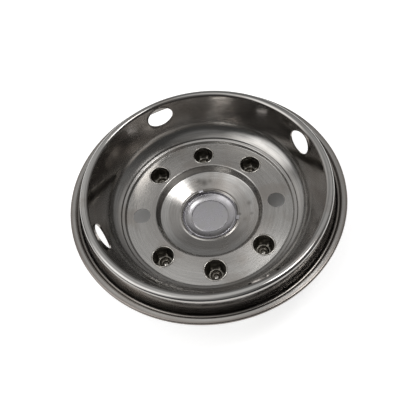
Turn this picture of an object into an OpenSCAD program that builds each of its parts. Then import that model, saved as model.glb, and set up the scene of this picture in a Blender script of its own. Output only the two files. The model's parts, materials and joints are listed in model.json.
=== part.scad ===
// Stainless simulator for the front wheel of a truck: one pressed shell, six false
// nut covers and a centre cap. It lies on its face, so +Z points at the wheel.
// Millimetres. The axis is Z, and X runs through the two open stud holes.

/* [Sheet] */
// Thickness of the pressed shell
sheet_t = 1; // [0.8:0.1:1.2]
// Thickness of the nut covers and the centre cap
thin_t = 0.8; // [0.6:0.1:0.9]

/* [Rim] */
// Diameter over the folded lip
outer_d = 524; // [518:1:530]
// Height of the lip above the tips of the nut covers
lip_z = 112; // [110:0.5:116]
// Width of the folded lip, seen from behind
lip_w = 13; // [12:0.5:14]
// Width of its rounded inner edge
lip_edge_w = 2.8; // [2:0.2:4]
// Drop of that inner edge
lip_drop = 5.4; // [4:0.2:6]
// Depth of the gutter that takes the edge of the wheel rim
gutter_depth = 13; // [11:0.5:15]
// Mean diameter of the ridge
ridge_d = 454.7; // [452:0.1:458]
// Height of the ridge over the lip
ridge_h = 30; // [26:0.5:33]
// Width of the ridge at its crest
ridge_w = 12.1; // [11:0.1:14]

/* [Drum] */
// Lean of the drum wall against the axis, in degrees
wall_lean = 17.4; // [15:0.1:19]
// Rise of the floor curve where it meets the ring steps, in degrees
floor_rise = 28; // [25:1:31]
// Radius of the floor curve
floor_curve = 45; // [36:1:46]
// Diameter at which the ring steps begin
ring_d = 357.2; // [356:0.1:358]

/* [Hand holes] */
// Number of hand holes
hand_holes = 4; // [2:1:4]
// Angle from an open stud hole to the next hand hole, in degrees
hand_turn = 22.5; // [0:22.5:67.5]
// Width of a hand hole round the drum
hand_w = 56; // [48:1:60]
// Height of a hand hole up the drum wall
hand_h = 39; // [34:1:41]
// Radius of the rounded ends of a hand hole
hand_end_r = 14; // [12:0.5:16]
// Height of the turned edge of a hand hole
hand_edge = 3; // [2:0.5:4]
// Height of the hand holes' centres over the lip
hand_z = 5; // [0:0.5:6]

/* [Lug flange] */
// Pitch circle diameter of the wheel studs
stud_pcd = 275; // [272:0.5:278]
// Number of stud positions
studs = 8; // [8:1:8]
// Diameter of the two open stud holes
open_hole_d = 34.5; // [32:0.5:38]
// Diameter of the holes that hold the nut covers
cover_hole_d = 42; // [40:0.5:43]
// Depth of the lug flange under the lip
flange_depth = 69; // [68:0.5:70]

/* [Nut covers] */
// Diameter of the cover's flange on the outside of the shell
cover_flange_d = 50; // [47:0.5:52]
// Diameter of the edge that is rolled over the shell from inside
cover_lip_d = 46.8; // [45:0.2:48]
// Width of the hexagon across its flats
cover_hex = 36; // [33:0.5:36]
// Length of the hexagon
cover_hex_h = 22; // [18:0.5:24]
// Diameter of the domed tip
cover_tip_d = 24; // [22:0.5:26]

/* [Hub and centre cap] */
// Diameter of the hub recess at the lug flange
hub_d = 218.6; // [212:0.1:222]
// Depth of the step from the lug flange into the hub
hub_step = 13.5; // [10:0.5:15]
// Width of that step
hub_step_w = 8; // [6:0.5:10]
// Slope of the hub cone, in degrees
hub_slope = 14.6; // [13:0.1:15]
// Diameter of the cap opening
opening_d = 114; // [112:0.5:116]
// Height of the bead round the cap opening
bead_h = 2; // [1.5:0.1:2.5]
// Width of that bead, from its foot to the edge of the opening
bead_w = 6.4; // [6:0.2:7]
// Diameter of the cap's plug, the part that stands inside the opening
cap_plug_d = 106.8; // [106:0.2:108]
// Depth of the groove between the plug and the opening
cap_groove = 4.4; // [3.5:0.1:5]
// Diameter of the cap's raised centre
cap_disc_d = 73.8; // [70:0.2:76]
// Depth of the cap's trough below its shoulder
cap_trough = 4.9; // [4:0.1:5.5]
// Height of the cap's raised centre over its trough
cap_disc_h = 1.1; // [0.8:0.1:1.4]
// Width of each of the cap's three tabs
tab_w = 9; // [7:0.5:11]

/* [Hidden] */
$fn = 144;

outer_r = outer_d / 2;
stud_r = stud_pcd / 2;
flange_z = lip_z - flange_depth;
crest_z = lip_z + ridge_h - sheet_t / 2;
crest_in_r = (ridge_d - ridge_w) / 2;
crest_out_r = (ridge_d + ridge_w) / 2;
opening_r = opening_d / 2;
hub_foot_r = hub_d / 2 - hub_step_w;
hub_foot_z = flange_z - hub_step;
opening_z = hub_foot_z - (hub_foot_r - opening_r) * tan(hub_slope);

// The floor line meets the ring steps, and the wall line comes down from the crest
ring_r = ring_d / 2;
ring_z = flange_z + 9.8;
knee_z = (crest_in_r - crest_z * tan(wall_lean) - ring_r + ring_z / tan(floor_rise))
       / (1 / tan(floor_rise) - tan(wall_lean));
knee_r = crest_in_r - (crest_z - knee_z) * tan(wall_lean);

// Height of the middle of the hub cone at a radius
function cone_z(r) = opening_z + (r - opening_r) * tan(hub_slope);

// Stations along the middle of the sheet, from the lip's cut edge to the cap opening:
// radius, height and corner radius
shell_stations = [
    [outer_r - lip_w, lip_z - lip_drop, 0],
    [outer_r - lip_w + lip_edge_w, lip_z - sheet_t / 2, 3],
    [outer_r - sheet_t / 2, lip_z - sheet_t / 2, 2.5],
    [outer_r - sheet_t / 2, lip_z - 5.7, 2.5],
    [outer_r - 18.5, lip_z - gutter_depth, 5],
    [crest_out_r, crest_z, 6],
    [crest_in_r, crest_z, 6],
    [knee_r, knee_z, floor_curve],
    [ring_r, ring_z, 1.5],
    [ring_r - 2, ring_z - 2.8, 1.5],
    [ring_r - 6.9, ring_z - 3.8, 1.5],
    [ring_r - 9.7, flange_z, 2],
    [hub_d / 2, flange_z, 3],
    [hub_foot_r, hub_foot_z, 3],
    [opening_r + bead_w, cone_z(opening_r + bead_w), 1.6],
    [opening_r + bead_w / 2, cone_z(opening_r + bead_w / 2) + bead_h, 1.6],
    [opening_r + 0.4, opening_z + 0.4, 0],
];

// The cap's brim lies against the front of the hub cone, and its plug stands in the opening
brim_drop = (sheet_t + thin_t) / 2 / cos(hub_slope);
brim_z = opening_z - brim_drop;
brim_out_r = opening_r + 10;
plug_r = cap_plug_d / 2;
disc_r = cap_disc_d / 2;
shoulder_z = brim_z - 0.7;
trough_z = shoulder_z - cap_trough;
groove_z = brim_z - cap_groove;
cap_stations = [
    [brim_out_r, cone_z(brim_out_r) - brim_drop, 0],
    [opening_r, brim_z, 1.2],
    [opening_r - 1, groove_z, 0.9],
    [plug_r + 0.8, groove_z, 0.9],
    [plug_r, shoulder_z, 1.3],
    [(plug_r + disc_r) / 2 + 0.8, trough_z + 1.1, 34],
    [disc_r + 1.6, trough_z, 0.9],
    [disc_r, trough_z + cap_disc_h, 0.9],
    [0, trough_z + cap_disc_h, 0],
];
tab_angles = [112.5, 232.5, 352.5];

// Length of the bars that cut the hand holes, short enough to miss the ridge's outer wall
hole_reach = 22;

// Nut covers stand at every stud position but the two on the X axis
cover_angles = [for (i = [0:studs - 1]) if (i % (studs / 2) != 0) i * 360 / studs];

arc_step = 9;

function unit(v) = v / norm(v);
function left(v) = [-v.y, v.x];
function cross2(a, b) = a.x * b.y - a.y * b.x;
function flat(p) = [p.x, p.y];

// Points of the round corner at b, on the way from a to c
function corner(a, b, c, r) =
    let (u = unit(a - b), v = unit(c - b), half = acos(u * v) / 2,
         middle = b + unit(u + v) * r / sin(half),
         start = b + u * r / tan(half) - middle,
         turn = (180 - 2 * half) * sign(cross2(-u, v)),
         n = max(2, ceil(abs(turn) / arc_step)))
    [for (i = [0:n]) let (t = turn * i / n)
        middle + [start.x * cos(t) - start.y * sin(t), start.x * sin(t) + start.y * cos(t)]];

// A path through the stations with its corners rounded
function rounded(s) = [for (i = [0:len(s) - 1])
    each (s[i].z == 0 ? [flat(s[i])] : corner(flat(s[i - 1]), flat(s[i]), flat(s[i + 1]), s[i].z))];

// The same path, moved sideways by d
function beside(p, d) = [for (i = [0:len(p) - 1])
    let (a = unit(p[min(i + 1, len(p) - 1)] - p[min(i, len(p) - 2)]),
         b = unit(p[max(i, 1)] - p[max(i - 1, 0)]))
    p[i] + d * (left(a) + left(b)) / (1 + left(a) * left(b))];

function reversed(p) = [for (i = [len(p) - 1:-1:0]) p[i]];

// The section of a sheet that follows a path
module sheet_section(stations, t) {
    path = rounded(stations);
    polygon(concat(beside(path, t / 2), reversed(beside(path, -t / 2))));
}

// Oval of four arcs, drawn out along Z on both sides of its middle. The end arcs are a
// little fuller than tangent ones, so that they cross the side arcs cleanly
module oval_bar(w, h, end_r, length) {
    a = w / 2;
    b = h / 2;
    fuller = 0.15;
    side_r = (pow(a - end_r, 2) + b * b - end_r * end_r) / (2 * (b - end_r));
    to_end = unit([a - end_r, side_r - b]);
    tangent_x = a - end_r + to_end.x * end_r;
    for (s = [-1, 1]) translate([s * (a - end_r - fuller), 0, 0])
        cylinder(h = length, r = end_r + fuller, center = true);
    intersection() {
        intersection_for(s = [-1, 1]) translate([0, s * (side_r - b), 0])
            cylinder(h = length, r = side_r, center = true);
        cube([2 * tangent_x, h, length], center = true);
    }
}

// Places a child on the drum wall at a hand hole, its Z square to the wall
module at_hand_hole(i) {
    hole_r = crest_in_r - (crest_z - lip_z - hand_z) * tan(wall_lean);
    rotate([0, 0, hand_turn + i * 360 / hand_holes])
        translate([hole_r, 0, lip_z + hand_z])
            rotate([0, -90 + wall_lean, 0])
                rotate([0, 0, 90])
                    children();
}

// Band that stands on the inside of the drum wall, for the turned hand-hole edges
module wall_band() {
    top_z = crest_z - 4;
    foot_z = crest_z - 52;
    function wall_r(z) = crest_in_r - (crest_z - z) * tan(wall_lean);
    depth = (hand_edge + sheet_t / 2) / cos(wall_lean);
    rotate_extrude() polygon([
        [wall_r(foot_z), foot_z], [wall_r(top_z), top_z],
        [wall_r(top_z) - depth, top_z], [wall_r(foot_z) - depth, foot_z]]);
}

module hand_hole_edges() {
    intersection() {
        wall_band();
        for (i = [0:hand_holes - 1]) at_hand_hole(i)
            oval_bar(hand_w + 2 * sheet_t, hand_h + 2 * sheet_t, hand_end_r + sheet_t, hole_reach);
    }
}

module wheel_shell() {
    color("silver") difference() {
        union() {
            rotate_extrude() sheet_section(shell_stations, sheet_t);
            hand_hole_edges();
        }
        for (i = [0:hand_holes - 1]) at_hand_hole(i)
            oval_bar(hand_w, hand_h, hand_end_r, hole_reach);
        for (a = cover_angles) rotate([0, 0, a]) translate([stud_r, 0, flange_z])
            cylinder(h = 4 * sheet_t, d = cover_hole_d, center = true);
        for (a = [0, 180]) rotate([0, 0, a]) translate([stud_r, 0, flange_z])
            cylinder(h = 4 * sheet_t, d = open_hole_d, center = true);
    }
}

// Outer form of a nut cover, shrunk by an inset: neck, hexagon with a chamfered end and
// a domed tip that touches the ground
module cover_form(inset) {
    neck_r = cover_hole_d / 2 - inset;
    hex_r = cover_hex / 2 - inset;
    tip_r = cover_tip_d / 2 - inset;
    hex_top = flange_z - sheet_t / 2;
    hex_foot = hex_top - cover_hex_h + inset;
    shoulder_z = hex_foot - 3.5;
    translate([0, 0, hex_top]) cylinder(h = 3 * sheet_t, r = neck_r);
    intersection() {
        translate([0, 0, shoulder_z])
            cylinder(h = hex_top - shoulder_z, r = hex_r / cos(30), $fn = 6);
        rotate_extrude() polygon([
            [0, hex_top + inset], [hex_r / cos(30), hex_top + inset],
            [hex_r / cos(30), hex_foot + 2], [tip_r + 2.5, shoulder_z], [0, shoulder_z]]);
    }
    translate([0, 0, cover_tip_d / 2]) {
        sphere(r = tip_r);
        cylinder(h = shoulder_z - cover_tip_d / 2 + inset, r = tip_r);
    }
}

// One nut cover at its stud position: pushed in from the front against its flange, and
// rolled over the back of the shell
module nut_cover(index) {
    lip_thick = 0.9;
    back_z = flange_z + sheet_t / 2;
    front_z = flange_z - sheet_t / 2;
    neck_r = cover_hole_d / 2;
    color("gainsboro") rotate([0, 0, cover_angles[index]]) translate([stud_r, 0, 0])
        difference() {
            union() {
                intersection() {
                    cover_form(0);
                    cylinder(h = back_z + lip_thick, r = cover_flange_d);
                }
                rotate_extrude() polygon([
                    [neck_r - 1, back_z], [cover_lip_d / 2 - 0.4, back_z],
                    [cover_lip_d / 2, back_z + 0.3], [neck_r + 0.6, back_z + lip_thick],
                    [neck_r - 1, back_z + lip_thick]]);
                rotate_extrude() polygon([
                    [neck_r - 1, front_z], [cover_flange_d / 2, front_z],
                    [cover_flange_d / 2, front_z - 0.9], [neck_r, front_z - 2.4],
                    [neck_r - 1, front_z - 2.4]]);
            }
            cover_form(thin_t);
        }
}

module lug_nut_cover_1() { nut_cover(0); }
module lug_nut_cover_2() { nut_cover(1); }
module lug_nut_cover_3() { nut_cover(2); }
module lug_nut_cover_4() { nut_cover(3); }
module lug_nut_cover_5() { nut_cover(4); }
module lug_nut_cover_6() { nut_cover(5); }

// Tab that rises from the groove inside the opening and folds outwards over the bead
module cap_tab() {
    bead_top = sheet_t / 2 + max([for (p = rounded(shell_stations))
        if (p.x < opening_r + bead_w) p.y]);
    inner_r = opening_r - 0.1;
    foot_z = groove_z + 1.9;
    end_r = opening_r + bead_w - 1.2;
    rotate_extrude(angle = 2 * asin(tab_w / 2 / opening_r)) polygon([
        [inner_r - thin_t, foot_z], [inner_r, foot_z], [inner_r, bead_top],
        [end_r, bead_top], [end_r, bead_top + thin_t], [inner_r - thin_t, bead_top + thin_t]]);
}

module centre_cap() {
    color("lightsteelblue") {
        rotate_extrude() sheet_section(cap_stations, thin_t);
        for (a = tab_angles) rotate([0, 0, a - asin(tab_w / 2 / opening_r)]) cap_tab();
    }
}

wheel_shell();
lug_nut_cover_1();
lug_nut_cover_2();
lug_nut_cover_3();
lug_nut_cover_4();
lug_nut_cover_5();
lug_nut_cover_6();
centre_cap();
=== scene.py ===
"""Simulator for the front wheel of a truck: a pressed stainless shell, six false nut covers
and a centre cap. The pieces are modelled in the frame's metres, with the axis on Z."""

import json
import math
from collections import namedtuple

import bmesh
import bpy
from bpy.props import FloatProperty, FloatVectorProperty, IntProperty, PointerProperty
from mathutils import Matrix, Vector

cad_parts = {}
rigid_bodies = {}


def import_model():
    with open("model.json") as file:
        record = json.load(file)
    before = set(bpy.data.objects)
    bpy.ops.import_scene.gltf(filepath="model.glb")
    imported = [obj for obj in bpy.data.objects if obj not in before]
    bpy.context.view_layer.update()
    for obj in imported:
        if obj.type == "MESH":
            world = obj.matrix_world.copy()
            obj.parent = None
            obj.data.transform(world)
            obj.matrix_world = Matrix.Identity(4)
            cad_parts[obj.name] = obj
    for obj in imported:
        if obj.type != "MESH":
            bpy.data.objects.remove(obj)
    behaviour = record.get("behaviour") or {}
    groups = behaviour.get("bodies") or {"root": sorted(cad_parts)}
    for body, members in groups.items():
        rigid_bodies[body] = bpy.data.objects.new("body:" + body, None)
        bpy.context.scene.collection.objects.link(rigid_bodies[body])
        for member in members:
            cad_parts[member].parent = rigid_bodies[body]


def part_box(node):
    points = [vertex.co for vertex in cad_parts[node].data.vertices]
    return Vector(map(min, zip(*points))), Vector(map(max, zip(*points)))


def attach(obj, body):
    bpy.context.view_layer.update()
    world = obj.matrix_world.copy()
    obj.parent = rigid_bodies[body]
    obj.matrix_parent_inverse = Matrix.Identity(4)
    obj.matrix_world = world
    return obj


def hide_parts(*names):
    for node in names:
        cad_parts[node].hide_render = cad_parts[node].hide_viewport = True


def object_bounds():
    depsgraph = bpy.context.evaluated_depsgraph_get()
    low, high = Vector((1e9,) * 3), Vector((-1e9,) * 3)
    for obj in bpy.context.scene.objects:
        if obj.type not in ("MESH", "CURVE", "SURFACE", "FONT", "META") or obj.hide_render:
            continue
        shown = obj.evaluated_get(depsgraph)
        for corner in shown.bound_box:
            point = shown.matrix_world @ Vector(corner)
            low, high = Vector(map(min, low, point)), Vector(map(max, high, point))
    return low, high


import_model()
CAD_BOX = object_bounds()

bl_info = {
    "name": "Truck Wheel Simulator",
    "version": (1, 0),
    "blender": (4, 5, 0),
    "location": "3D View > Sidebar > Wheel",
    "description": "Models the stainless simulator of a truck's front wheel around its CAD frame",
    "category": "Add Mesh",
}

MM = 0.001
SHELL_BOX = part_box("wheel_shell")
OUTER_R = SHELL_BOX[1].x
CREST_TOP = SHELL_BOX[1].z
BEND_STEP = math.radians(10)
WIDE_BEND = 20 * MM
SHARP_EDGE = math.radians(40)
RING_RISE = 9.8 * MM


def length(name, description, default_mm, low=0.0, high=600.0):
    """A length property that a user sees in the scene's unit, given in millimetres."""
    return FloatProperty(
        name=name, description=description, default=default_mm * MM,
        min=low * MM, max=high * MM, unit="LENGTH", precision=4)


def angle(name, description, default_degrees):
    return FloatProperty(
        name=name, description=description, default=math.radians(default_degrees),
        unit="ROTATION")


def colour(name, description, default):
    return FloatVectorProperty(
        name=name, description=description, default=default, size=3, min=0, max=1,
        subtype="COLOR")


class ShellSizes(bpy.types.PropertyGroup):
    """Sizes of the pressed shell"""
    outer_r: FloatProperty(
        name="Outer radius", description="Radius over the folded lip", default=OUTER_R,
        unit="LENGTH")
    ridge_top: FloatProperty(
        name="Top of the ridge", description="Height of the ridge's crest", default=CREST_TOP,
        unit="LENGTH")
    sheet: length("Sheet", "Thickness of the pressed sheet", 1)
    ridge_h: length("Ridge height", "Height of the ridge over the lip", 30)
    lip_w: length("Lip width", "Width of the folded lip", 13)
    lip_edge_w: length("Lip edge width", "Width of the lip's rounded inner edge", 2.8)
    lip_drop: length("Lip drop", "Drop of the lip's inner edge", 5.4)
    gutter_depth: length("Gutter depth", "Depth of the gutter under the lip", 13)
    ridge_r: length("Ridge radius", "Mean radius of the ridge", 227.35)
    ridge_w: length("Ridge width", "Width of the ridge at its crest", 12.1)
    wall_lean: angle("Wall lean", "Lean of the drum wall against the axis", 17.4)
    floor_rise: angle("Floor rise", "Rise of the floor curve at the ring steps", 28)
    floor_curve: length("Floor curve", "Radius of the floor curve", 45)
    ring_r: length("Ring radius", "Radius at which the ring steps begin", 178.6)
    flange_depth: length("Flange depth", "Depth of the lug flange under the lip", 69)
    hub_r: length("Hub radius", "Radius of the hub recess at the lug flange", 109.3)
    hub_step: length("Hub step", "Depth of the step into the hub", 13.5)
    hub_step_w: length("Hub step width", "Width of the step into the hub", 8)
    hub_slope: angle("Hub slope", "Slope of the hub cone", 14.6)
    opening_r: length("Opening radius", "Radius of the cap opening", 57)
    bead_h: length("Bead height", "Height of the bead round the cap opening", 2)
    bead_w: length("Bead width", "Width of that bead, up to the edge of the opening", 6.4)
    steps: IntProperty(
        name="Steps", description="Steps of the spin round the axis", default=288, min=64)


class HoleSizes(bpy.types.PropertyGroup):
    """Sizes of the hand holes and the stud holes"""
    hand_w: length("Hand hole width", "Width of a hand hole round the drum", 56)
    hand_h: length("Hand hole height", "Height of a hand hole up the wall", 39)
    hand_end_r: length("Hand hole ends", "Radius of a hand hole's rounded ends", 14)
    hand_edge: length("Turned edge", "Height of a hand hole's turned edge", 3)
    hand_bend: length("Turned edge bend", "Bend radius of the turned edge", 1)
    hand_lift: length("Hand hole lift", "Height of a hand hole's centre over the lip", 5)
    hand_turn: angle("Hand hole turn", "Angle from an open stud hole to a hand hole", 22.5)
    stud_r: length("Stud radius", "Radius of the circle of wheel studs", 137.5)
    open_r: length("Open stud hole", "Radius of an open stud hole", 17.25)
    cover_r: length("Cover hole", "Radius of a hole that holds a nut cover", 21)


class CoverSizes(bpy.types.PropertyGroup):
    """Sizes of a nut cover"""
    sheet: length("Sheet", "Thickness of a nut cover", 0.8)
    flange_r: length("Flange radius", "Radius of the flange on the front of the shell", 25)
    rolled_r: length("Rolled rim radius", "Radius of the rim rolled over the back", 23.4)
    hex_w: length("Hexagon width", "Width of the hexagon across its flats", 36)
    hex_h: length("Hexagon height", "Length of the hexagon", 22)
    tip_r: length("Tip radius", "Radius of the domed tip", 12)
    steps: IntProperty(
        name="Steps", description="Steps of the spin round a cover", default=96, min=24)


class CapSizes(bpy.types.PropertyGroup):
    """Sizes of the centre cap"""
    sheet: length("Sheet", "Thickness of the cap", 0.8)
    brim_w: length("Brim", "Width of the brim under the hub cone", 10)
    plug_r: length("Plug radius", "Radius of the plug that stands in the opening", 53.4)
    groove: length("Groove", "Depth of the groove between plug and opening", 4.4)
    disc_r: length("Disc radius", "Radius of the raised centre", 36.9)
    disc_h: length("Disc height", "Height of the raised centre over the trough", 1.1)
    trough: length("Trough", "Depth of the trough below the plug's shoulder", 4.9)
    tab_w: length("Tab width", "Width of a folded tab", 9)
    tab_turn: angle("Tab turn", "Angle of the first tab", 112.5)
    steps: IntProperty(
        name="Steps", description="Steps of the spin round the cap", default=192, min=48)


class Finishes(bpy.types.PropertyGroup):
    """Colours of the metal"""
    steel: colour("Steel", "Polished stainless", (0.50, 0.491, 0.475))
    stain: colour("Stain", "Heat and water stains on the stainless", (0.30, 0.265, 0.235))
    cover: colour("Cover", "Plated nut cover", (0.50, 0.48, 0.45))
    # Painted shade down in a nut cover and in the cap's trough; also the colour of a cover's specks
    cover_dull: colour("Cover, dull", "Bottom of a nut cover", (0.17, 0.16, 0.14))
    # Painted shade and dark reflection, which darkens the shell in rings
    painted_shade_tint: colour("Wall tint", "Brownish tint of the drum wall", (0.27, 0.245, 0.225))
    mark: colour("Mark", "Dark marks on the hub", (0.15, 0.142, 0.132))
    # Painted shade at the bottom of the gutter
    gutter_shade: colour("Grime", "Dirt in the gutter", (0.20, 0.178, 0.155))
    cap: colour("Cap", "Cool grey sheet of the cap", (0.47, 0.46, 0.485))
    cap_clouds: colour("Cap clouds", "Cloudy marks on the cap", (0.40, 0.395, 0.385))


class StageSettings(bpy.types.PropertyGroup):
    """Camera, floor and light"""
    camera_at: FloatVectorProperty(
        name="Camera", description="Place of the camera", default=(0.0210, -0.4870, 0.8144),
        subtype="TRANSLATION", unit="LENGTH")
    look_at: FloatVectorProperty(
        name="Look at", description="Point in the middle of the picture",
        default=(0.0003, -0.0433, 0.1120), subtype="TRANSLATION", unit="LENGTH")
    roll: angle("Roll", "Roll of the camera", -9.1)
    lens: FloatProperty(
        name="Lens", description="Focal length in millimetres", default=38.81, min=10)
    floor: colour("Floor", "Pale floor", (0.80, 0.80, 0.80))
    floor_glow: FloatProperty(
        name="Floor glow", description="White that the floor shows beside its lit colour",
        default=0.7, min=0, max=1)
    shade_r: length("Shade", "Radius under the part within which the floor stays in shade", 200)


def sizes(name):
    return getattr(bpy.context.scene, name)


# Sections

def corner_points(a, b, c, radius, step):
    """Points of the round corner at b, on the way from a to c."""
    u, v = (a - b).normalized(), (c - b).normalized()
    half = math.acos(u.dot(v)) / 2
    middle = b + (u + v).normalized() * radius / math.sin(half)
    start = b + u * radius / math.tan(half) - middle
    turn = math.copysign(math.pi - 2 * half, (-u).cross(v))
    count = max(2, math.ceil(abs(turn) / step))
    return [middle + Matrix.Rotation(turn * i / count, 2) @ start for i in range(count + 1)]


def rounded(stations):
    """Points of a path through stations of radius, height and corner radius. Wide bends have
    finer steps."""
    flat = [Vector(s[:2]) for s in stations]
    points = []
    for i, station in enumerate(stations):
        radius = station[2]
        if radius == 0:
            points.append(flat[i])
            continue
        step = BEND_STEP if radius < WIDE_BEND else BEND_STEP / 3
        points += corner_points(flat[i - 1], flat[i], flat[i + 1], radius, step)
    return points


def held_straight(points, hold=1.2 * MM):
    """The path with a point close to each end of its long straights, which keeps them flat."""
    held = [points[0]]
    for here, there in zip(points, points[1:]):
        way = there - here
        if way.length > 4 * hold:
            held += [here + way.normalized() * hold, there - way.normalized() * hold]
        held.append(there)
    return held


# Modelling helpers

def deselect():
    bpy.ops.object.select_all(action="DESELECT")


def draw_line(name, points):
    """A new piece that is one line through points of radius and height, left in edit mode."""
    deselect()
    bpy.ops.mesh.primitive_plane_add(size=MM)
    piece = bpy.context.object
    piece.name = name
    piece.data.name = name
    bpy.ops.object.mode_set(mode="EDIT")
    bpy.ops.mesh.select_mode(type="VERT")
    bpy.ops.mesh.merge(type="CENTER")
    spots = [Vector((p[0], 0, p[1])) for p in points]
    bpy.ops.transform.translate(value=spots[0])
    for here, there in zip(spots, spots[1:]):
        bpy.ops.mesh.extrude_region_move(TRANSFORM_OT_translate={"value": there - here})
    return piece


def close_line():
    """Joins the two ends of the line in edit mode."""
    bm = bmesh.from_edit_mesh(bpy.context.edit_object.data)
    bpy.ops.mesh.select_all(action="DESELECT")
    for vert in bm.verts:
        if len(vert.link_edges) == 1:
            vert.select_set(True)
    bpy.ops.mesh.edge_face_add()


def spin_round(steps, turn=2 * math.pi):
    """Spins all that is in edit mode round the axis, and closes it where it meets itself."""
    bpy.ops.mesh.select_all(action="SELECT")
    bpy.ops.mesh.spin(steps=steps, angle=turn, center=(0, 0, 0), axis=(0, 0, 1))
    bpy.ops.mesh.select_all(action="SELECT")
    bpy.ops.mesh.remove_doubles(threshold=0.002 * MM)
    bpy.ops.mesh.normals_make_consistent(inside=False)


def pick(kind, test):
    """Selects only what passes a test: verts, edges or faces of the mesh in edit mode."""
    bpy.ops.mesh.select_all(action="DESELECT")
    bpy.ops.mesh.select_mode(type={"verts": "VERT", "edges": "EDGE", "faces": "FACE"}[kind])
    bm = bmesh.from_edit_mesh(bpy.context.edit_object.data)
    for element in getattr(bm, kind):
        if test(element):
            element.select_set(True)
    bmesh.update_edit_mesh(bpy.context.edit_object.data)


def shape_picked(place):
    """Moves each selected vertex to place(its position)."""
    bm = bmesh.from_edit_mesh(bpy.context.edit_object.data)
    for vert in bm.verts:
        if vert.select:
            vert.co = place(vert.co)
    bmesh.update_edit_mesh(bpy.context.edit_object.data)


def polar(co):
    """Radius and azimuth of a point round the axis."""
    return math.hypot(co.x, co.y), math.atan2(co.y, co.x)


def apart(a, b):
    """Signed angle from b to a, from minus half a turn to half a turn."""
    return (a - b + math.pi) % (2 * math.pi) - math.pi


def finish_mode():
    bpy.ops.object.mode_set(mode="OBJECT")


def apply_modifier(piece, kind, **settings):
    """Adds a modifier to a piece, sets it and applies it."""
    deselect()
    piece.select_set(True)
    bpy.context.view_layer.objects.active = piece
    modifier = piece.modifiers.new(kind.title(), kind)
    for key, value in settings.items():
        setattr(modifier, key, value)
    bpy.ops.object.modifier_apply(modifier=modifier.name)


def turned_copy(piece, name, turn):
    """A copy of a piece with its own mesh, turned round the axis."""
    copy = piece.copy()
    copy.data = piece.data.copy()
    copy.name = name
    copy.data.name = name
    copy.data.transform(Matrix.Rotation(turn, 4, "Z"))
    bpy.context.scene.collection.objects.link(copy)
    return copy


def join(piece, others):
    """Joins other pieces into a piece."""
    deselect()
    for other in others:
        other.select_set(True)
    piece.select_set(True)
    bpy.context.view_layer.objects.active = piece
    bpy.ops.object.join()


def smooth(piece):
    """Smooth shading that keeps the sharp edges."""
    deselect()
    piece.select_set(True)
    bpy.context.view_layer.objects.active = piece
    bpy.ops.object.shade_smooth_by_angle(angle=SHARP_EDGE)


def hand_over(piece, material, slot, *nodes):
    """Gives a finished piece its material, its body and the nodes that it stands for."""
    piece.data.materials.clear()
    piece.data.materials.append(material)
    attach(piece, "root")
    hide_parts(*nodes)


# Shell

Levels = namedtuple("Levels", "lip flange foot_r foot opening")


def levels():
    """Heights that several pieces share, and the radius of the hub cone's foot."""
    s = sizes("shell_sizes")
    lip_z = s.ridge_top - s.ridge_h
    flange_z = lip_z - s.flange_depth
    foot_r = s.hub_r - s.hub_step_w
    foot_z = flange_z - s.hub_step
    opening_z = foot_z - (foot_r - s.opening_r) * math.tan(s.hub_slope)
    return Levels(lip_z, flange_z, foot_r, foot_z, opening_z)


def cone_z(radius):
    """Height of the middle of the hub cone at a radius."""
    s = sizes("shell_sizes")
    return levels().opening + (radius - s.opening_r) * math.tan(s.hub_slope)


def knee():
    """Corner between the drum wall and the floor line, as radius and height."""
    s = sizes("shell_sizes")
    crest_r, crest_z = s.ridge_r - s.ridge_w / 2, s.ridge_top - s.sheet / 2
    ring_z = levels().flange + RING_RISE
    rise, lean = math.tan(s.floor_rise), math.tan(s.wall_lean)
    z = (crest_r - crest_z * lean - s.ring_r + ring_z / rise) / (1 / rise - lean)
    return crest_r - (crest_z - z) * lean, z


def shell_stations():
    """Stations along the middle of the sheet, from the lip's cut edge to the cap opening."""
    s = sizes("shell_sizes")
    lip_z, flange_z, foot_r, foot_z, opening_z = levels()
    crest_z = s.ridge_top - s.sheet / 2
    ring_z = flange_z + RING_RISE
    edge_r = s.outer_r - s.sheet / 2
    return [
        (s.outer_r - s.lip_w, lip_z - s.lip_drop, 0),
        (s.outer_r - s.lip_w + s.lip_edge_w, lip_z - s.sheet / 2, 3 * MM),
        (edge_r, lip_z - s.sheet / 2, 2.5 * MM),
        (edge_r, lip_z - 5.7 * MM, 2.5 * MM),
        (s.outer_r - 18.5 * MM, lip_z - s.gutter_depth, 5 * MM),
        (s.ridge_r + s.ridge_w / 2, crest_z, 6 * MM),
        (s.ridge_r - s.ridge_w / 2, crest_z, 6 * MM),
        (*knee(), s.floor_curve),
        (s.ring_r, ring_z, 1.5 * MM),
        (s.ring_r - 2 * MM, ring_z - 2.8 * MM, 1.5 * MM),
        (s.ring_r - 6.9 * MM, ring_z - 3.8 * MM, 1.5 * MM),
        (s.ring_r - 9.7 * MM, flange_z, 2 * MM),
        (s.hub_r, flange_z, 3 * MM),
        (foot_r, foot_z, 3 * MM),
        (s.opening_r + s.bead_w, cone_z(s.opening_r + s.bead_w), 1.6 * MM),
        (s.opening_r + s.bead_w / 2, cone_z(s.opening_r + s.bead_w / 2) + s.bead_h, 1.6 * MM),
        (s.opening_r + 0.4 * MM, opening_z + 0.4 * MM, 0),
    ]


def wall_radius(z):
    """Radius of the middle of the drum wall at a height."""
    s = sizes("shell_sizes")
    return s.ridge_r - s.ridge_w / 2 - (s.ridge_top - s.sheet / 2 - z) * math.tan(s.wall_lean)


def wall_rows(points, rows):
    """The path with its deepest straight, the drum wall, cut into even rows, and their span
    with two more rows at the top, which reach into the bend of the crest."""
    wall = max(range(len(points) - 1), key=lambda i: points[i].y - points[i + 1].y)
    here, there = points[wall], points[wall + 1]
    cuts = [here.lerp(there, i / (rows - 2)) for i in range(rows - 1)]
    return points[:wall] + cuts + points[wall + 2:], (there.y, points[wall - 2].y)


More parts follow.
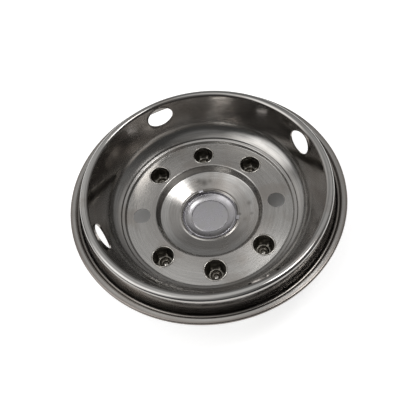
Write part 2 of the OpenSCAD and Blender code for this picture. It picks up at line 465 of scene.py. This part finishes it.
def oval_outline(width, height, end_r, count):
    """Evenly spaced points of an oval of four tangent arcs, each with its outward normal."""
    a, b = width / 2, height / 2
    side_r = ((a - end_r) ** 2 + b * b - end_r * end_r) / (2 * (b - end_r))
    lean = math.atan2(side_r - b, a - end_r)
    arcs = [
        (Vector((a - end_r, 0)), end_r, -lean, lean),
        (Vector((0, b - side_r)), side_r, lean, math.pi - lean),
        (Vector((end_r - a, 0)), end_r, math.pi - lean, math.pi + lean),
        (Vector((0, side_r - b)), side_r, math.pi + lean, 2 * math.pi - lean),
    ]
    whole = sum(r * (stop - start) for _, r, start, stop in arcs)
    outline = []
    for i in range(count):
        along = (whole * i / count + end_r * lean) % whole
        for middle, r, start, stop in arcs:
            if along <= r * (stop - start):
                break
            along -= r * (stop - start)
        turn = start + along / r
        normal = Vector((math.cos(turn), math.sin(turn)))
        outline.append((middle + normal * r, normal))
    return outline


def wall_point(u, v, depth):
    """A point of the drum wall at azimuth 0: u round it and v up it from the middle of a
    hand hole, and depth inside it."""
    s, h = sizes("shell_sizes"), sizes("hole_sizes")
    middle_z = levels().lip + h.hand_lift
    up = Vector((math.sin(s.wall_lean), 0, math.cos(s.wall_lean)))
    out = Vector((math.cos(s.wall_lean), 0, -math.sin(s.wall_lean)))
    point = Vector((wall_radius(middle_z), u, middle_z)) + up * v
    for _ in range(4):
        point += out * (wall_radius(point.z) - polar(point)[0]) * math.cos(s.wall_lean)
    return point - out * depth


def add_turned_edge(count):
    """The turned edge of a hand hole at azimuth 0, as rings from the wall to its cut end."""
    s, h = sizes("shell_sizes"), sizes("hole_sizes")
    bend_steps = 5
    outline = oval_outline(h.hand_w, h.hand_h, h.hand_end_r, count)
    rings = [(h.hand_bend * (1 - math.sin(t)), h.hand_bend * (1 - math.cos(t)))
             for t in (math.pi / 2 * i / bend_steps for i in range(bend_steps + 1))]
    rings.append((0, h.hand_edge + s.sheet / 2))
    deselect()
    bpy.ops.mesh.primitive_circle_add(vertices=count, radius=h.hand_w)
    piece = bpy.context.object
    bpy.ops.object.mode_set(mode="EDIT")
    for index, (offset, depth) in enumerate(rings):
        if index:
            bpy.ops.mesh.extrude_edges_move()
        bm = bmesh.from_edit_mesh(piece.data)
        ring = [vert for vert in bm.verts if vert.select]
        for vert, (spot, normal) in zip(ring, outline):
            u, v = spot + normal * (offset + s.sheet / 2)
            vert.co = wall_point(u, v, depth)
        bmesh.update_edit_mesh(piece.data)
    finish_mode()
    return piece


def open_windows(span, half_steps):
    """Deletes the wall's faces round each hand hole, in edit mode, between two rows."""
    s, h = sizes("shell_sizes"), sizes("hole_sizes")
    reach = (half_steps + 0.1) * 2 * math.pi / s.steps

    def in_window(face):
        co = face.calc_center_median()
        r, azimuth = polar(co)
        turn = (azimuth - h.hand_turn + math.pi / 4) % (math.pi / 2) - math.pi / 4
        return span[0] < co.z < span[1] and abs(turn) < reach and abs(r - wall_radius(co.z)) < 2 * MM

    pick("faces", in_window)
    bpy.ops.mesh.delete(type="FACE")


def bridge_window(azimuth, span, half_steps):
    """Joins the edge of a window in the wall to the turned edge of its hand hole."""
    s = sizes("shell_sizes")
    reach = (half_steps + 0.5) * 2 * math.pi / s.steps

    def at_window(edge):
        if not edge.is_boundary:
            return False
        for vert in edge.verts:
            r, turn = polar(vert.co)
            if abs(apart(turn, azimuth)) > reach or not span[0] - MM < vert.co.z < span[1] + MM:
                return False
            if abs(r - wall_radius(vert.co.z)) > 1 * MM:
                return False
        return True

    def onto_wall(co):
        r = polar(co)[0]
        return Vector((co.x, co.y, 0)) * wall_radius(co.z) / r + Vector((0, 0, co.z))

    pick("edges", at_window)
    bpy.ops.mesh.bridge_edge_loops(number_cuts=3, interpolation="LINEAR")
    bpy.ops.mesh.select_more()
    bm = bmesh.from_edit_mesh(bpy.context.edit_object.data)
    for vert in bm.verts:
        r = polar(vert.co)[0]
        if vert.select and abs(r - wall_radius(vert.co.z)) < 4 * MM and span[0] - MM < vert.co.z:
            inside_edge = any(not face.select for face in vert.link_faces)
            if not inside_edge:
                vert.co = onto_wall(vert.co)
    bmesh.update_edit_mesh(bpy.context.edit_object.data)


def cut_round_holes(piece, spots, z):
    """Cuts round holes through the flat lug flange at spots of azimuth and radius."""
    h = sizes("hole_sizes")
    deselect()
    cutters = []
    for azimuth, radius in spots:
        bpy.ops.mesh.primitive_cylinder_add(
            vertices=96, radius=radius, depth=8 * MM,
            location=(h.stud_r * math.cos(azimuth), h.stud_r * math.sin(azimuth), z))
        cutters.append(bpy.context.object)
    join(cutters[0], cutters[1:])
    bpy.ops.object.transform_apply()
    cutter = bpy.context.object
    apply_modifier(piece, "BOOLEAN", operation="DIFFERENCE", object=cutter, solver="EXACT")
    bpy.data.objects.remove(cutter)


def cover_azimuths():
    return [math.radians(a) for a in (45, 90, 135, 225, 270, 315)]


class WHEEL_OT_shell(bpy.types.Operator):
    """Model the pressed shell with its lip, drum, hand holes, lug flange and hub"""
    bl_idname = "wheel.add_shell"
    bl_label = "Add Shell"
    bl_options = {"REGISTER", "UNDO"}

    def execute(self, context):
        s, h = sizes("shell_sizes"), sizes("hole_sizes")
        rows, half_steps = 16, 8
        path = held_straight(rounded(shell_stations()))
        path, span = wall_rows(path, rows)
        shell = draw_line("shell_sheet", path)
        spin_round(s.steps)
        open_windows(span, half_steps)
        finish_mode()
        edge = add_turned_edge(2 * (rows + 2 * half_steps))
        azimuths = [h.hand_turn + i * math.pi / 2 for i in range(4)]
        edges = [turned_copy(edge, f"hand_hole_edge_{i + 1}", a) for i, a in enumerate(azimuths)]
        bpy.data.objects.remove(edge)
        join(shell, edges)
        bpy.ops.object.mode_set(mode="EDIT")
        for azimuth in azimuths:
            bridge_window(azimuth, span, half_steps)
        bpy.ops.mesh.select_all(action="SELECT")
        bpy.ops.mesh.normals_make_consistent(inside=False)
        finish_mode()
        apply_modifier(shell, "SOLIDIFY", thickness=s.sheet, offset=0, use_even_offset=True)
        spots = [(a, h.cover_r) for a in cover_azimuths()]
        spots += [(a, h.open_r) for a in (0, math.pi)]
        cut_round_holes(shell, spots, levels().flange)
        smooth(shell)
        hand_over(shell, stainless("polished_stainless"), "polished_stainless", "wheel_shell")
        return {"FINISHED"}


# Nut covers

def cover_stations():
    """Section of a nut cover, from the bottom of its cavity over the rolled rim on the back
    and the flange on the front to the tip outside."""
    c, h = sizes("cover_sizes"), sizes("hole_sizes")
    sheet = sizes("shell_sizes").sheet
    flange_z = levels().flange
    back, front = flange_z + sheet / 2, flange_z - sheet / 2
    corner_r = c.hex_w / 2 / math.cos(math.radians(30))
    foot = front - c.hex_h
    shoulder = foot - 3.5 * MM
    tip_z = c.tip_r
    inner, t = c.tip_r - c.sheet, c.sheet

    def dome(radius, start, stop, count=10):
        turns = [start + (stop - start) * i / count for i in range(count + 1)]
        return [(radius * math.sin(a), tip_z - radius * math.cos(a)) for a in turns]

    inside = dome(inner, 0, math.pi / 2) + [
        (inner, shoulder + t), (inner + 2.4 * MM, shoulder + 1.3 * t),
        (corner_r - 1.6 * t, foot + 2 * MM), (corner_r - 1.1 * t, foot + 3.5 * MM),
        (corner_r - 1.1 * t, front - 7 * MM), (corner_r - t, front - 4 * MM),
        (h.cover_r - t, front - 1.5 * MM), (h.cover_r - t, back)]
    over_rim = [
        (h.cover_r - 0.5 * t, back + 0.6 * MM), (h.cover_r + 0.5 * MM, back + 0.95 * MM),
        (h.cover_r + 1.4 * MM, back + 0.85 * MM), (c.rolled_r - 0.2 * MM, back + 0.45 * MM),
        (c.rolled_r, back + 0.15 * MM), (c.rolled_r - 0.3 * MM, back), (h.cover_r, back)]
    flange = [
        (h.cover_r, front), (c.flange_r - 0.3 * MM, front), (c.flange_r, front - 0.4 * MM),
        (c.flange_r - 0.3 * MM, front - 0.9 * MM), (h.cover_r + 1.2 * MM, front - 1.6 * MM),
        (h.cover_r + 0.3 * MM, front - 2.4 * MM), (corner_r, front - 4 * MM)]
    outside = [
        (corner_r, foot + 2.4 * MM), (corner_r - 0.6 * MM, foot + 1.4 * MM),
        (c.tip_r + 3.2 * MM, shoulder + 0.4 * MM), (c.tip_r + 2 * MM, shoulder - 0.2 * MM),
        (c.tip_r + 0.3 * MM, shoulder - 0.6 * MM), (c.tip_r, shoulder - 1.6 * MM)]
    outside += dome(c.tip_r, math.pi / 2, 0)
    return [Vector(p) for p in inside + over_rim + flange + outside]


def press_hexagon():
    """Presses six flats into the round cup that is in edit mode."""
    c = sizes("cover_sizes")
    front = levels().flange - sizes("shell_sizes").sheet / 2
    top, foot = front - 2.4 * MM, front - c.hex_h
    sharpness = 36

    def pressed(co):
        r, turn = polar(co)
        if r < c.tip_r + 0.5 * MM or co.z > top:
            return co
        flat = sum(abs(math.cos(turn - math.radians(60 * k))) ** sharpness for k in range(3))
        hexagon = flat ** (-1 / sharpness) * math.cos(math.radians(30))
        rise = min(1, max(0, (top - co.z) / (3 * MM)))
        ease = rise * rise * (3 - 2 * rise)
        chamfer = min(1, max(0, (co.z - foot + 3 * MM) / (5 * MM)))
        limit = r * hexagon + (1 - chamfer) * 1.5 * MM
        return co + Vector((co.x, co.y, 0)) * (min(limit / r, 1) - 1) * ease

    bpy.ops.mesh.select_all(action="SELECT")
    shape_picked(pressed)


class WHEEL_OT_covers(bpy.types.Operator):
    """Model one hollow nut cover and copy it to six stud positions"""
    bl_idname = "wheel.add_covers"
    bl_label = "Add Nut Covers"
    bl_options = {"REGISTER", "UNDO"}

    def execute(self, context):
        c, h = sizes("cover_sizes"), sizes("hole_sizes")
        first = draw_line("nut_cover", cover_stations())
        spin_round(c.steps)
        press_hexagon()
        bpy.ops.mesh.select_all(action="SELECT")
        bpy.ops.transform.translate(value=(h.stud_r, 0, 0))
        finish_mode()
        smooth(first)
        material = plated("plated_nut_cover")
        for i, azimuth in enumerate(cover_azimuths()):
            cover = turned_copy(first, f"nut_cover_{i + 1}", azimuth)
            hand_over(cover, material, "plated_nut_cover", f"lug_nut_cover_{i + 1}")
        bpy.data.objects.remove(first)
        return {"FINISHED"}


# Centre cap

def cap_stations():
    """Stations along the middle of the cap's sheet, from the brim to the axis."""
    s, c = sizes("shell_sizes"), sizes("cap_sizes")
    brim_drop = (s.sheet + c.sheet) / 2 / math.cos(s.hub_slope)
    brim_z = levels().opening - brim_drop
    brim_r = s.opening_r + c.brim_w
    shoulder_z = brim_z - 0.7 * MM
    trough_z = shoulder_z - c.trough
    return [
        (brim_r, cone_z(brim_r) - brim_drop, 0),
        (s.opening_r, brim_z, 1.2 * MM),
        (s.opening_r - 1 * MM, brim_z - c.groove, 0.9 * MM),
        (c.plug_r + 0.8 * MM, brim_z - c.groove, 0.9 * MM),
        (c.plug_r, shoulder_z, 1.3 * MM),
        ((c.plug_r + c.disc_r) / 2 + 0.8 * MM, trough_z + 1.1 * MM, 34 * MM),
        (c.disc_r + 1.6 * MM, trough_z, 0.9 * MM),
        (c.disc_r, trough_z + c.disc_h, 0.9 * MM),
        (0, trough_z + c.disc_h, 0),
    ]


def add_tab(azimuth, name):
    """A tab that rises from the groove inside the opening and folds outwards over the bead."""
    s, c = sizes("shell_sizes"), sizes("cap_sizes")
    bead = [p.y for p in rounded(shell_stations()) if p.x < s.opening_r + s.bead_w]
    top, t = max(bead) + s.sheet / 2, c.sheet
    foot = levels().opening - c.groove + 1 * MM
    inner, end = s.opening_r - 0.1 * MM, s.opening_r + s.bead_w - 1.2 * MM
    section = [
        (inner - t, foot), (inner, foot), (inner, top), (end, top), (end, top + 0.6 * t),
        (end - 0.4 * t, top + t), (inner - 0.4 * t, top + t), (inner - 0.8 * t, top + 0.7 * t),
        (inner - t, top + 0.2 * t)]
    tab = draw_line(name, section)
    close_line()
    width = 2 * math.asin(c.tab_w / 2 / s.opening_r)
    bpy.ops.mesh.select_all(action="SELECT")
    bpy.ops.mesh.edge_face_add()
    spin_round(6, width)
    finish_mode()
    tab.data.transform(Matrix.Rotation(azimuth - width / 2, 4, "Z"))
    return tab


class WHEEL_OT_cap(bpy.types.Operator):
    """Model the centre cap with its trough, raised centre and three folded tabs"""
    bl_idname = "wheel.add_cap"
    bl_label = "Add Centre Cap"
    bl_options = {"REGISTER", "UNDO"}

    def execute(self, context):
        c = sizes("cap_sizes")
        cap = draw_line("centre_cap_plate", held_straight(rounded(cap_stations())))
        spin_round(c.steps)
        finish_mode()
        apply_modifier(cap, "SOLIDIFY", thickness=c.sheet, offset=0, use_even_offset=True)
        tabs = [add_tab(c.tab_turn + i * 2 * math.pi / 3, f"cap_tab_{i + 1}") for i in range(3)]
        join(cap, tabs)
        smooth(cap)
        hand_over(cap, cap_metal("cap_steel"), "cap_steel", "centre_cap")
        return {"FINISHED"}


# Materials

def new_material(name):
    """A node material and its Principled shader, made metallic."""
    material = bpy.data.materials.new(name)
    material.use_nodes = True
    shader = material.node_tree.nodes["Principled BSDF"]
    shader.inputs["Metallic"].default_value = 1
    return material, material.node_tree, shader


def math_node(tree, operation, a, b=0.0):
    """A Math node whose inputs are sockets or numbers. Returns its output."""
    node = tree.nodes.new("ShaderNodeMath")
    node.operation = operation
    for socket, value in zip(node.inputs, (a, b)):
        if isinstance(value, bpy.types.NodeSocket):
            tree.links.new(value, socket)
        else:
            socket.default_value = value
    return node.outputs[0]


def fade(tree, value, start, stop, low=0.0, high=1.0):
    """A value that runs smoothly from low to high while another runs from start to stop."""
    node = tree.nodes.new("ShaderNodeMapRange")
    node.interpolation_type = "SMOOTHSTEP"
    tree.links.new(value, node.inputs["Value"])
    for key, number in (("From Min", start), ("From Max", stop), ("To Min", low), ("To Max", high)):
        node.inputs[key].default_value = number
    return node.outputs["Result"]


def mixed(tree, share, first, second):
    """A colour between two, which are sockets or tuples."""
    node = tree.nodes.new("ShaderNodeMix")
    node.data_type = "RGBA"
    tree.links.new(share, node.inputs[0])
    for socket, value in ((node.inputs[6], first), (node.inputs[7], second)):
        if isinstance(value, bpy.types.NodeSocket):
            tree.links.new(value, socket)
        else:
            socket.default_value = (*value, 1)
    return node.outputs[2]


def noise(tree, vector, scale, detail=2.0):
    node = tree.nodes.new("ShaderNodeTexNoise")
    node.inputs["Scale"].default_value = scale
    node.inputs["Detail"].default_value = detail
    tree.links.new(vector, node.inputs["Vector"])
    return node.outputs["Fac"]


def places(tree):
    """Sockets for the object position, the radius, the height, and a vector in which circles
    round the axis are long and the way across them is short."""
    place = tree.nodes.new("ShaderNodeTexCoord").outputs["Object"]
    parts = tree.nodes.new("ShaderNodeSeparateXYZ")
    tree.links.new(place, parts.inputs[0])
    x, y, z = parts.outputs
    radius = math_node(tree, "SQRT", math_node(tree, "ADD", math_node(tree, "MULTIPLY", x, x),
                                               math_node(tree, "MULTIPLY", y, y)))
    ring = tree.nodes.new("ShaderNodeCombineXYZ")
    tree.links.new(math_node(tree, "DIVIDE", x, radius), ring.inputs[0])
    tree.links.new(math_node(tree, "DIVIDE", y, radius), ring.inputs[1])
    across = math_node(tree, "MULTIPLY", math_node(tree, "ADD", radius, z), 120)
    tree.links.new(across, ring.inputs[2])
    return place, radius, z, ring.outputs[0]


def zones(tree, radius, stops):
    """A value that changes with the radius, from stops of radius in millimetres and value."""
    node = tree.nodes.new("ShaderNodeValToRGB")
    reach = stops[-1][0] * MM
    tree.links.new(math_node(tree, "DIVIDE", radius, reach), node.inputs[0])
    ramp = node.color_ramp
    while len(ramp.elements) < len(stops):
        ramp.elements.new(0.5)
    for element, (place, value) in zip(ramp.elements, stops):
        element.position = place * MM / reach
        element.color = (value, value, value, 1)
    return node.outputs[0]


def smudge(tree, place, middle, size, ragged):
    """A soft mark round a point of the plan, with a ragged edge."""
    flat = tree.nodes.new("ShaderNodeVectorMath")
    flat.operation = "MULTIPLY"
    tree.links.new(place, flat.inputs[0])
    flat.inputs[1].default_value = (1, 1, 0)
    away = tree.nodes.new("ShaderNodeVectorMath")
    away.operation = "DISTANCE"
    tree.links.new(flat.outputs[0], away.inputs[0])
    away.inputs[1].default_value = middle
    reach = math_node(tree, "ADD", away.outputs["Value"], math_node(tree, "MULTIPLY", ragged, size))
    return fade(tree, reach, size * 1.5, size * 0.5)


def waviness(tree, shader, height, distance):
    """Bends the shader's normal by a height."""
    bump = tree.nodes.new("ShaderNodeBump")
    bump.inputs["Strength"].default_value = 1
    bump.inputs["Distance"].default_value = distance
    tree.links.new(height, bump.inputs["Height"])
    tree.links.new(bump.outputs[0], shader.inputs["Normal"])


def brushed_round(tree, shader, amount):
    """Brush marks round the axis, which draw reflections out across them."""
    tangent = tree.nodes.new("ShaderNodeTangent")
    tangent.direction_type = "RADIAL"
    tangent.axis = "Z"
    tree.links.new(tangent.outputs[0], shader.inputs["Tangent"])
    shader.inputs["Anisotropic"].default_value = amount
    shader.inputs["Anisotropic Rotation"].default_value = 0.25


# Dark marks on the hub, as x, y and size in millimetres, and strength
HUB_MARKS = (
    (-5, 78, 14, 0.9), (-16, 82, 11, 0.7), (8, 80, 9, 0.6), (84, 12, 9, 0.6), (86, -14, 7, 0.6),
    (70, -24, 8, 0.4), (-34, 56, 5, 0.8), (62, -9, 5, 0.9))


def stainless(name):
    """Polished stainless: brush marks round the axis, satin on the lug flange and the hub,
    smoother on the drum wall, with faint stains and marks on the hub. Painted shade and dark
    reflection darken it towards a brownish tint in rings, most on the drum wall, the crest and
    the lip, and painted shade darkens the bottom of the gutter."""
    material, tree, shader = new_material(name)
    f = sizes("finishes")
    place, radius, z, ring = places(tree)
    streaks = noise(tree, ring, 2.2, 4)
    fine = noise(tree, ring, 9, 3)
    patches = noise(tree, place, 16, 3)
    stained = fade(tree, patches, 0.52, 0.70)
    steel = mixed(tree, fade(tree, streaks, 0.35, 0.68), f.steel, [v * 0.84 for v in f.steel])
    steel = mixed(tree, math_node(tree, "MULTIPLY", stained, 0.45), steel, f.stain)
    # Painted shade and dark reflection: rings of the hub, the ring steps, the drum wall, the crest
    # and the lip are darkened towards a brownish tint
    shaded_rings = zones(tree, radius, [
        (0, 0.35), (84, 0.35), (88, 0), (108, 0), (110, 0.4), (150, 0.1), (168, 0.1), (176, 0.3),
        (184, 0.3), (190, 0), (196, 0), (208, 0.75), (220, 0.75), (224, 0), (233, 0), (236, 0.7),
        (242, 0.6), (246, 0.2), (256, 0.4), (259, 1), (262, 1)])
    steel = mixed(tree, shaded_rings, steel, f.painted_shade_tint)
    # Painted shade: the bottom of the gutter under the lip is darkened
    in_gutter = math_node(tree, "MULTIPLY", fade(tree, radius, 240.5 * MM, 242.5 * MM),
                          fade(tree, z, 109.5 * MM, 104.5 * MM))
    steel = mixed(tree, math_node(tree, "MULTIPLY", in_gutter, 0.6), steel, f.gutter_shade)
    for x, y, size, strength in HUB_MARKS:
        mark = smudge(tree, place, Vector((x, y, 0)) * MM, size * MM, patches)
        steel = mixed(tree, math_node(tree, "MULTIPLY", mark, strength), steel, f.mark)
    tree.links.new(steel, shader.inputs["Base Color"])
    finish = zones(tree, radius, [
        (0, 0.19), (100, 0.20), (106, 0.14), (113, 0.25), (165, 0.25), (171, 0.16), (192, 0.15),
        (203, 0.10), (222, 0.07), (236, 0.08), (242, 0.20), (250, 0.17), (262, 0.20)])
    rough = math_node(tree, "ADD", finish, fade(tree, fine, 0.3, 0.7, -0.03, 0.05))
    rough = math_node(tree, "ADD", rough, math_node(tree, "MULTIPLY", stained, 0.05))
    tree.links.new(rough, shader.inputs["Roughness"])
    brushed_round(tree, shader, 0.75)
    waviness(tree, shader, noise(tree, place, 22, 1), 0.12 * MM)
    return material


def plated(name):
    """Plated nut cover with dark specks: bright rolled rim, rougher and darkened by painted shade
    down in the cup, and lightened by a painted highlight at its smoother tip.
    """
    material, tree, shader = new_material(name)
    f = sizes("finishes")
    place, _, z, _ = places(tree)
    # Painted shade: the cover darkens below this height, inside the cup and out
    cup_shade = fade(tree, z, 43 * MM, 36 * MM)
    # Painted highlight: the domed tip is lightened again
    dome = fade(tree, z, 15 * MM, 7 * MM)
    plate = mixed(tree, cup_shade, f.cover, f.cover_dull)
    plate = mixed(tree, math_node(tree, "MULTIPLY", dome, 0.7), plate, f.cover)
    specks = fade(tree, noise(tree, place, 420, 2), 0.50, 0.66, 0, 0.7)
    tree.links.new(mixed(tree, specks, plate, f.cover_dull), shader.inputs["Base Color"])
    rough = math_node(tree, "ADD", math_node(tree, "MULTIPLY", cup_shade, 0.14), 0.20)
    rough = math_node(tree, "SUBTRACT", rough, math_node(tree, "MULTIPLY", dome, 0.16))
    tree.links.new(rough, shader.inputs["Roughness"])
    return material


def cap_metal(name):
    """Smooth cool grey sheet with faint cloudy marks, and painted shade that makes it slightly
    darker in its trough.
    """
    material, tree, shader = new_material(name)
    f = sizes("finishes")
    place, radius, _, _ = places(tree)
    clouds = fade(tree, noise(tree, place, 60, 4), 0.40, 0.66)
    sheet = mixed(tree, math_node(tree, "MULTIPLY", clouds, 0.5), f.cap, f.cap_clouds)
    # Painted shade in the trough, in the colour of a nut cover's painted shade
    trough = zones(tree, radius, [(0, 0), (36, 0), (39, 0.15), (50, 0.15), (52, 0), (70, 0)])
    sheet = mixed(tree, trough, sheet, f.cover_dull)
    tree.links.new(sheet, shader.inputs["Base Color"])
    tree.links.new(math_node(tree, "ADD", math_node(tree, "MULTIPLY", clouds, 0.08), 0.26),
                   shader.inputs["Roughness"])
    waviness(tree, shader, noise(tree, place, 45, 2), 0.05 * MM)
    return material


# Stage

class WHEEL_OT_stage(bpy.types.Operator):
    """Set the camera, the pale floor and the soft light"""
    bl_idname = "wheel.add_stage"
    bl_label = "Add Stage"
    bl_options = {"REGISTER", "UNDO"}

    def execute(self, context):
        g = sizes("stage_settings")
        add_camera(g)
        add_floor(g)
        add_light()
        context.scene.view_settings.view_transform = "Standard"
        return {"FINISHED"}


def add_camera(g):
    at, look = Vector(g.camera_at), Vector(g.look_at)
    turn = (look - at).to_track_quat("-Z", "Y").to_matrix().to_4x4()
    bpy.ops.object.camera_add()
    camera = bpy.context.object
    camera.name = "camera"
    camera.matrix_world = Matrix.Translation(at) @ turn @ Matrix.Rotation(g.roll, 4, "Z")
    camera.data.sensor_width = 36
    camera.data.lens = g.lens
    bpy.context.scene.camera = camera


FLOOR_WIDTH = 12


def add_floor(g):
    """A wide pale floor at the height of the nut covers' tips. What looks at it sees it
    white, apart from the shade right under the part."""
    deselect()
    bpy.ops.mesh.primitive_plane_add(size=FLOOR_WIDTH, location=(0, 0, CAD_BOX[0].z))
    floor = bpy.context.object
    floor.name = "floor"
    bpy.ops.object.transform_apply()
    material = bpy.data.materials.new("pale_floor")
    material.use_nodes = True
    tree = material.node_tree
    shader = tree.nodes["Principled BSDF"]
    shader.inputs["Base Color"].default_value = (*g.floor, 1)
    shader.inputs["Roughness"].default_value = 0.8
    shader.inputs["Specular IOR Level"].default_value = 0
    shader.inputs["Emission Color"].default_value = (1, 1, 1, 1)
    path = tree.nodes.new("ShaderNodeLightPath")
    seen = math_node(tree, "MAXIMUM", path.outputs["Is Camera Ray"], path.outputs["Is Glossy Ray"])
    seen = math_node(tree, "MAXIMUM", seen, path.outputs["Is Transmission Ray"])
    place = tree.nodes.new("ShaderNodeTexCoord")
    reach = tree.nodes.new("ShaderNodeVectorMath")
    reach.operation = "LENGTH"
    tree.links.new(place.outputs["Object"], reach.inputs[0])
    clear = tree.nodes.new("ShaderNodeMapRange")
    clear.inputs["From Min"].default_value = g.shade_r * 0.85
    clear.inputs["From Max"].default_value = g.shade_r
    clear.inputs["To Max"].default_value = g.floor_glow
    tree.links.new(reach.outputs["Value"], clear.inputs["Value"])
    glow = math_node(tree, "MULTIPLY", seen, clear.outputs["Result"])
    tree.links.new(glow, shader.inputs["Emission Strength"])
    floor.data.materials.append(material)


# Soft bright places of the room: azimuth from the far side towards +X, elevation, radius
# at which the light has faded out, all in degrees, and brightness
ROOM = {
    "left_window": (-92, 59, 24, 1.1),
    "left_window_low": (-99, 33, 27, 1.2),
    "left_window_end": (-124, 46, 20, 0.6),
    "far_left_wall": (-45, 20, 28, 0.35),
    "left_ceiling": (-48, 55, 32, 0.38),
    "back_ceiling": (-125, 70, 22, 0.3),
    "zenith": (-40, 84, 20, 0.4),
    "far_ceiling": (5, 67, 13, 0.35),
    "ceiling_lamp": (61, 70, 10, 8.0),
    "right_ceiling": (42, 50, 24, 0.3),
    "right_lamp": (88, 64, 12, 0.4),
    "behind_camera": (182, 56, 30, 0.16),
}


# Brightness of the rest of the room, behind the camera and on the far side
ROOM_NEAR, ROOM_FAR = 0.07, 0.25


def add_light():
    """A dim room, darker behind the camera, with a few soft bright places."""
    world = bpy.data.worlds.new("soft_room")
    bpy.context.scene.world = world
    world.use_nodes = True
    tree = world.node_tree
    looking = tree.nodes.new("ShaderNodeTexCoord").outputs["Generated"]
    parts = tree.nodes.new("ShaderNodeSeparateXYZ")
    tree.links.new(looking, parts.inputs[0])
    total = fade(tree, parts.outputs["Y"], -0.6, 0.5, ROOM_NEAR, ROOM_FAR)
    for azimuth, elevation, radius, strength in ROOM.values():
        turn, rise = math.radians(azimuth), math.radians(elevation)
        spot = tree.nodes.new("ShaderNodeVectorMath")
        spot.operation = "DOT_PRODUCT"
        tree.links.new(looking, spot.inputs[0])
        spot.inputs[1].default_value = (
            math.sin(turn) * math.cos(rise), math.cos(turn) * math.cos(rise), math.sin(rise))
        edge, core = math.cos(math.radians(radius)), math.cos(math.radians(radius * 0.3))
        light = fade(tree, spot.outputs["Value"], edge, core, 0, strength)
        total = math_node(tree, "ADD", light, total)
    background = tree.nodes["Background"]
    background.inputs["Color"].default_value = (1, 0.995, 0.99, 1)
    tree.links.new(total, background.inputs["Strength"])


# Panel and registration

class WHEEL_PT_panel(bpy.types.Panel):
    """Sizes, colours and steps of the wheel simulator"""
    bl_label = "Truck Wheel Simulator"
    bl_idname = "WHEEL_PT_panel"
    bl_space_type = "VIEW_3D"
    bl_region_type = "UI"
    bl_category = "Wheel"

    def draw(self, context):
        for name, group in GROUPS:
            box = self.layout.box()
            box.label(text=group.__doc__)
            for key in group.__annotations__:
                box.prop(getattr(context.scene, name), key)
        for operator in OPERATORS:
            self.layout.operator(operator.bl_idname)


GROUPS = [
    ("shell_sizes", ShellSizes), ("hole_sizes", HoleSizes), ("cover_sizes", CoverSizes),
    ("cap_sizes", CapSizes), ("finishes", Finishes), ("stage_settings", StageSettings)]
OPERATORS = [WHEEL_OT_stage, WHEEL_OT_shell, WHEEL_OT_covers, WHEEL_OT_cap]


def register():
    for name, group in GROUPS:
        bpy.utils.register_class(group)
        setattr(bpy.types.Scene, name, PointerProperty(type=group))
    for operator in OPERATORS:
        bpy.utils.register_class(operator)
    bpy.utils.register_class(WHEEL_PT_panel)


def unregister():
    bpy.utils.unregister_class(WHEEL_PT_panel)
    for operator in reversed(OPERATORS):
        bpy.utils.unregister_class(operator)
    for name, group in reversed(GROUPS):
        delattr(bpy.types.Scene, name)
        bpy.utils.unregister_class(group)


def main():
    register()
    bpy.ops.wheel.add_stage()
    bpy.ops.wheel.add_shell()
    bpy.ops.wheel.add_covers()
    bpy.ops.wheel.add_cap()


if __name__ == "__main__":
    main()
